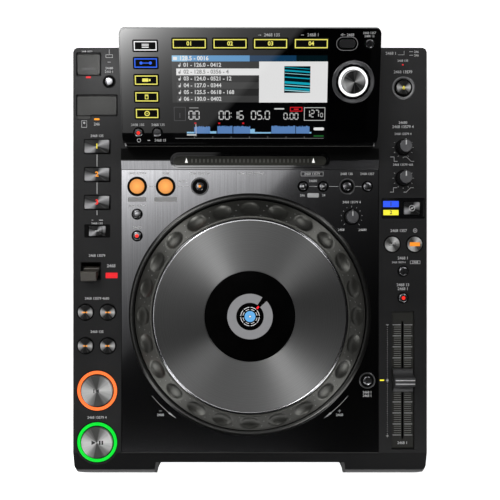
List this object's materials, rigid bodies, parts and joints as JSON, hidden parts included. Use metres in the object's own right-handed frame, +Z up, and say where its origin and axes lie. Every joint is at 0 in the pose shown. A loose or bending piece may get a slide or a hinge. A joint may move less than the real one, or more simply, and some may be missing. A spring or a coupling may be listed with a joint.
{
  "type": "tabletop disc and media player",
  "caption": "Tabletop player for DJs with a large jog wheel, tilted display console, tempo slider and keys.",
  "frame": {"origin": "bottom centre of the overall box, on the surface that the feet stand on", "axes": "+X to the right as seen by the user, +Y from the user to the rear, +Z up"},
  "size_m": [0.32, 0.405, 0.1047],
  "materials": {
    "pan_steel": "black powder coat on sheet steel",
    "housing_plastic": "finely grained dark grey plastic",
    "deck_metal": "brushed lengthwise under clear gloss",
    "drive_steel": "zinc plated sheet",
    "circuit_board": "glass laminate with solder mask",
    "jack_plate": "black painted steel with black sockets",
    "console_plastic": "glossy black plastic",
    "window_acrylic": "clear acrylic, printed black from behind",
    "screen_glass": "colour display panel",
    "key_plastic": "black key plastic, lit through small windows",
    "loop_key_plastic": "translucent orange-lit key",
    "spun_caps": "metal key caps, turned in fine circles",
    "cue_ring_plastic": "translucent light guide, lit orange",
    "play_ring_plastic": "translucent light guide, lit green",
    "dial_plastic": "metallic dark grey moulding",
    "platter_metal": "spun in fine circles, polished chamfer",
    "lens_acrylic": "clear acrylic over the black centre",
    "bezel_plastic": "dark glossy ring",
    "knob_plastic": "satin black",
    "strip_acrylic": "smoked touch strip",
    "selector_metal": "spun metal top"
  },
  "bodies": {
    "player_body": {"base_pan": "pan_steel", "main_housing": "housing_plastic", "deck_plate": "deck_metal", "console_housing": "console_plastic", "console_window": "window_acrylic", "lcd_module": "screen_glass", "jog_bezel": "bezel_plastic", "jog_spindle": "knob_plastic", "needle_search_strip": "strip_acrylic", "disc_drive": "drive_steel", "main_board": "circuit_board", "panel_board": "circuit_board", "rear_jack_panel": "jack_plate", "cue_light_ring": "cue_ring_plastic", "play_light_ring": "play_ring_plastic"},
    "jog_wheel": {"jog_dial": "dial_plastic", "jog_platter": "platter_metal", "jog_lens": "lens_acrylic"},
    "play_button": {"play_button": "spun_caps"},
    "cue_button": {"cue_button": "spun_caps"},
    "tempo_slider": {"tempo_slider": "knob_plastic"},
    "direction_lever": {"direction_lever": "knob_plastic"},
    "stick_port_cover": {"stick_port_cover": "housing_plastic"},
    "card_port_cover": {"card_port_cover": "housing_plastic"},
    "selector_knob": {"selector_knob": "selector_metal"},
    "touch_brake_knob": {"touch_brake_knob": "knob_plastic"},
    "release_start_knob": {"release_start_knob": "knob_plastic"},
    "jog_adjust_knob": {"jog_adjust_knob": "knob_plastic"},
    "hot_cue_a_button": {"hot_cue_a_button": "key_plastic"},
    "hot_cue_b_button": {"hot_cue_b_button": "key_plastic"},
    "hot_cue_c_button": {"hot_cue_c_button": "key_plastic"},
    "recall_button": {"recall_button": "key_plastic"},
    "menu_keypad": {"menu_keypad": "key_plastic"},
    "source_keypad": {"source_keypad": "key_plastic"},
    "back_button": {"back_button": "key_plastic"},
    "tag_button": {"tag_button": "key_plastic"},
    "quantize_button": {"quantize_button": "key_plastic"},
    "time_mode_button": {"time_mode_button": "key_plastic"},
    "loop_in_button": {"loop_in_button": "loop_key_plastic"},
    "loop_out_button": {"loop_out_button": "loop_key_plastic"},
    "reloop_button": {"reloop_button": "key_plastic"},
    "track_search_back_button": {"track_search_back_button": "key_plastic"},
    "track_search_forward_button": {"track_search_forward_button": "key_plastic"},
    "search_reverse_button": {"search_reverse_button": "key_plastic"},
    "search_forward_button": {"search_forward_button": "key_plastic"},
    "disc_eject_button": {"disc_eject_button": "key_plastic"},
    "jog_mode_button": {"jog_mode_button": "key_plastic"},
    "sync_button": {"sync_button": "spun_caps"},
    "master_button": {"master_button": "spun_caps"},
    "usb_stop_button": {"usb_stop_button": "key_plastic"},
    "tempo_range_button": {"tempo_range_button": "key_plastic"},
    "master_tempo_button": {"master_tempo_button": "key_plastic"},
    "call_back_button": {"call_back_button": "key_plastic"},
    "call_forward_button": {"call_forward_button": "key_plastic"},
    "delete_button": {"delete_button": "key_plastic"},
    "memory_button": {"memory_button": "key_plastic"},
    "loop_mode_button": {"loop_mode_button": "key_plastic"},
    "slip_button": {"slip_button": "key_plastic"},
    "tempo_reset_button": {"tempo_reset_button": "key_plastic"},
    "power_switch": {"power_switch": "key_plastic"}
  },
  "joints": [
    {"name": "jog_wheel_turn", "type": "hinge", "parent": "player_body", "child": "jog_wheel", "pos_m": [0, -0.04638, 0.062], "axis": [0, 0, 1], "continuous": true},
    {"name": "play_button_press", "type": "slide", "parent": "player_body", "child": "play_button", "axis": [0, 0, -1], "range_m": [0, 0.0012], "stiffness_N_per_m": 600, "springref_m": -0.0005},
    {"name": "cue_button_press", "type": "slide", "parent": "player_body", "child": "cue_button", "axis": [0, 0, -1], "range_m": [0, 0.0012], "stiffness_N_per_m": 600, "springref_m": -0.0005},
    {"name": "tempo_slider_slide", "type": "slide", "parent": "player_body", "child": "tempo_slider", "axis": [0, -1, 0], "range_m": [-0.05, 0.05]},
    {"name": "direction_lever_throw", "type": "hinge", "parent": "player_body", "child": "direction_lever", "pos_m": [-0.144, -0.00689, 0.054], "axis": [-1, 0, 0], "range_deg": [0, 28]},
    {"name": "stick_port_cover_hinge", "type": "hinge", "parent": "player_body", "child": "stick_port_cover", "pos_m": [-0.146, 0.18869, 0.06125], "axis": [-1, 0, 0], "range_deg": [0, 95]},
    {"name": "card_port_cover_hinge", "type": "hinge", "parent": "player_body", "child": "card_port_cover", "pos_m": [-0.13855, 0.1507, 0.06125], "axis": [-1, 0, 0], "range_deg": [0, 95]},
    {"name": "selector_knob_turn", "type": "hinge", "parent": "player_body", "child": "selector_knob", "pos_m": [0.08944, 0.15766, 0.09365], "axis": [0, -0.23, 0.9732], "continuous": true},
    {"name": "touch_brake_knob_turn", "type": "hinge", "parent": "player_body", "child": "touch_brake_knob", "pos_m": [0.13859, 0.10472, 0.062], "axis": [0, 0, -1], "range_deg": [-150, 150]},
    {"name": "release_start_knob_turn", "type": "hinge", "parent": "player_body", "child": "release_start_knob", "pos_m": [0.13859, 0.07694, 0.062], "axis": [0, 0, -1], "range_deg": [-150, 150]},
    {"name": "jog_adjust_knob_turn", "type": "hinge", "parent": "player_body", "child": "jog_adjust_knob", "pos_m": [0.09201, 0.04179, 0.062], "axis": [0, 0, -1], "range_deg": [-150, 150]},
    {"name": "hot_cue_a_button_press", "type": "slide", "parent": "player_body", "child": "hot_cue_a_button", "axis": [0, 0, -1], "range_m": [0, 0.0008], "stiffness_N_per_m": 600, "springref_m": -0.0005},
    {"name": "hot_cue_b_button_press", "type": "slide", "parent": "player_body", "child": "hot_cue_b_button", "axis": [0, 0, -1], "range_m": [0, 0.0008], "stiffness_N_per_m": 600, "springref_m": -0.0005},
    {"name": "hot_cue_c_button_press", "type": "slide", "parent": "player_body", "child": "hot_cue_c_button", "axis": [0, 0, -1], "range_m": [0, 0.0008], "stiffness_N_per_m": 600, "springref_m": -0.0005},
    {"name": "recall_button_press", "type": "slide", "parent": "player_body", "child": "recall_button", "axis": [0, 0, -1], "range_m": [0, 0.0008], "stiffness_N_per_m": 600, "springref_m": -0.0005},
    {"name": "menu_keypad_press", "type": "slide", "parent": "player_body", "child": "menu_keypad", "axis": [0, 0.23, -0.9732], "range_m": [0, 0.0006], "stiffness_N_per_m": 600, "springref_m": -0.0005},
    {"name": "source_keypad_press", "type": "slide", "parent": "player_body", "child": "source_keypad", "axis": [0, 0.23, -0.9732], "range_m": [0, 0.0006], "stiffness_N_per_m": 600, "springref_m": -0.0005},
    {"name": "back_button_press", "type": "slide", "parent": "player_body", "child": "back_button", "axis": [0, 0.23, -0.9732], "range_m": [0, 0.0008], "stiffness_N_per_m": 600, "springref_m": -0.0005},
    {"name": "tag_button_press", "type": "slide", "parent": "player_body", "child": "tag_button", "axis": [0, 0.23, -0.9732], "range_m": [0, 0.0008], "stiffness_N_per_m": 600, "springref_m": -0.0005},
    {"name": "quantize_button_press", "type": "slide", "parent": "player_body", "child": "quantize_button", "axis": [0, 0.23, -0.9732], "range_m": [0, 0.0008], "stiffness_N_per_m": 600, "springref_m": -0.0005},
    {"name": "time_mode_button_press", "type": "slide", "parent": "player_body", "child": "time_mode_button", "axis": [0, 0.23, -0.9732], "range_m": [0, 0.0008], "stiffness_N_per_m": 600, "springref_m": -0.0005},
    {"name": "loop_in_button_press", "type": "slide", "parent": "player_body", "child": "loop_in_button", "axis": [0, 0, -1], "range_m": [0, 0.0008], "stiffness_N_per_m": 600, "springref_m": -0.0005},
    {"name": "loop_out_button_press", "type": "slide", "parent": "player_body", "child": "loop_out_button", "axis": [0, 0, -1], "range_m": [0, 0.0008], "stiffness_N_per_m": 600, "springref_m": -0.0005},
    {"name": "reloop_button_press", "type": "slide", "parent": "player_body", "child": "reloop_button", "axis": [0, 0, -1], "range_m": [0, 0.0008], "stiffness_N_per_m": 600, "springref_m": -0.0005},
    {"name": "track_search_back_button_press", "type": "slide", "parent": "player_body", "child": "track_search_back_button", "axis": [0, 0, -1], "range_m": [0, 0.0008], "stiffness_N_per_m": 600, "springref_m": -0.0005},
    {"name": "track_search_forward_button_press", "type": "slide", "parent": "player_body", "child": "track_search_forward_button", "axis": [0, 0, -1], "range_m": [0, 0.0008], "stiffness_N_per_m": 600, "springref_m": -0.0005},
    {"name": "search_reverse_button_press", "type": "slide", "parent": "player_body", "child": "search_reverse_button", "axis": [0, 0, -1], "range_m": [0, 0.0008], "stiffness_N_per_m": 600, "springref_m": -0.0005},
    {"name": "search_forward_button_press", "type": "slide", "parent": "player_body", "child": "search_forward_button", "axis": [0, 0, -1], "range_m": [0, 0.0008], "stiffness_N_per_m": 600, "springref_m": -0.0005},
    {"name": "disc_eject_button_press", "type": "slide", "parent": "player_body", "child": "disc_eject_button", "axis": [0, 0, -1], "range_m": [0, 0.0008], "stiffness_N_per_m": 600, "springref_m": -0.0005},
    {"name": "jog_mode_button_press", "type": "slide", "parent": "player_body", "child": "jog_mode_button", "axis": [0, 0, -1], "range_m": [0, 0.0008], "stiffness_N_per_m": 600, "springref_m": -0.0005},
    {"name": "sync_button_press", "type": "slide", "parent": "player_body", "child": "sync_button", "axis": [0, 0, -1], "range_m": [0, 0.0008], "stiffness_N_per_m": 600, "springref_m": -0.0005},
    {"name": "master_button_press", "type": "slide", "parent": "player_body", "child": "master_button", "axis": [0, 0, -1], "range_m": [0, 0.0008], "stiffness_N_per_m": 600, "springref_m": -0.0005},
    {"name": "usb_stop_button_press", "type": "slide", "parent": "player_body", "child": "usb_stop_button", "axis": [0, 0, -1], "range_m": [0, 0.0008], "stiffness_N_per_m": 600, "springref_m": -0.0005},
    {"name": "tempo_range_button_press", "type": "slide", "parent": "player_body", "child": "tempo_range_button", "axis": [0, 0, -1], "range_m": [0, 0.0008], "stiffness_N_per_m": 600, "springref_m": -0.0005},
    {"name": "master_tempo_button_press", "type": "slide", "parent": "player_body", "child": "master_tempo_button", "axis": [0, 0, -1], "range_m": [0, 0.0008], "stiffness_N_per_m": 600, "springref_m": -0.0005},
    {"name": "call_back_button_press", "type": "slide", "parent": "player_body", "child": "call_back_button", "axis": [0, 0, -1], "range_m": [0, 0.0008], "stiffness_N_per_m": 600, "springref_m": -0.0005},
    {"name": "call_forward_button_press", "type": "slide", "parent": "player_body", "child": "call_forward_button", "axis": [0, 0, -1], "range_m": [0, 0.0008], "stiffness_N_per_m": 600, "springref_m": -0.0005},
    {"name": "delete_button_press", "type": "slide", "parent": "player_body", "child": "delete_button", "axis": [0, 0, -1], "range_m": [0, 0.0008], "stiffness_N_per_m": 600, "springref_m": -0.0005},
    {"name": "memory_button_press", "type": "slide", "parent": "player_body", "child": "memory_button", "axis": [0, 0, -1], "range_m": [0, 0.0008], "stiffness_N_per_m": 600, "springref_m": -0.0005},
    {"name": "loop_mode_button_press", "type": "slide", "parent": "player_body", "child": "loop_mode_button", "axis": [0, 0, -1], "range_m": [0, 0.0008], "stiffness_N_per_m": 600, "springref_m": -0.0005},
    {"name": "slip_button_press", "type": "slide", "parent": "player_body", "child": "slip_button", "axis": [0, 0, -1], "range_m": [0, 0.0008], "stiffness_N_per_m": 600, "springref_m": -0.0005},
    {"name": "tempo_reset_button_press", "type": "slide", "parent": "player_body", "child": "tempo_reset_button", "axis": [0, 0, -1], "range_m": [0, 0.0008], "stiffness_N_per_m": 600, "springref_m": -0.0005},
    {"name": "power_switch_press", "type": "slide", "parent": "player_body", "child": "power_switch", "axis": [0, -1, 0], "range_m": [0, 0.0025], "stiffness_N_per_m": 600, "springref_m": -0.0005}
  ]
}
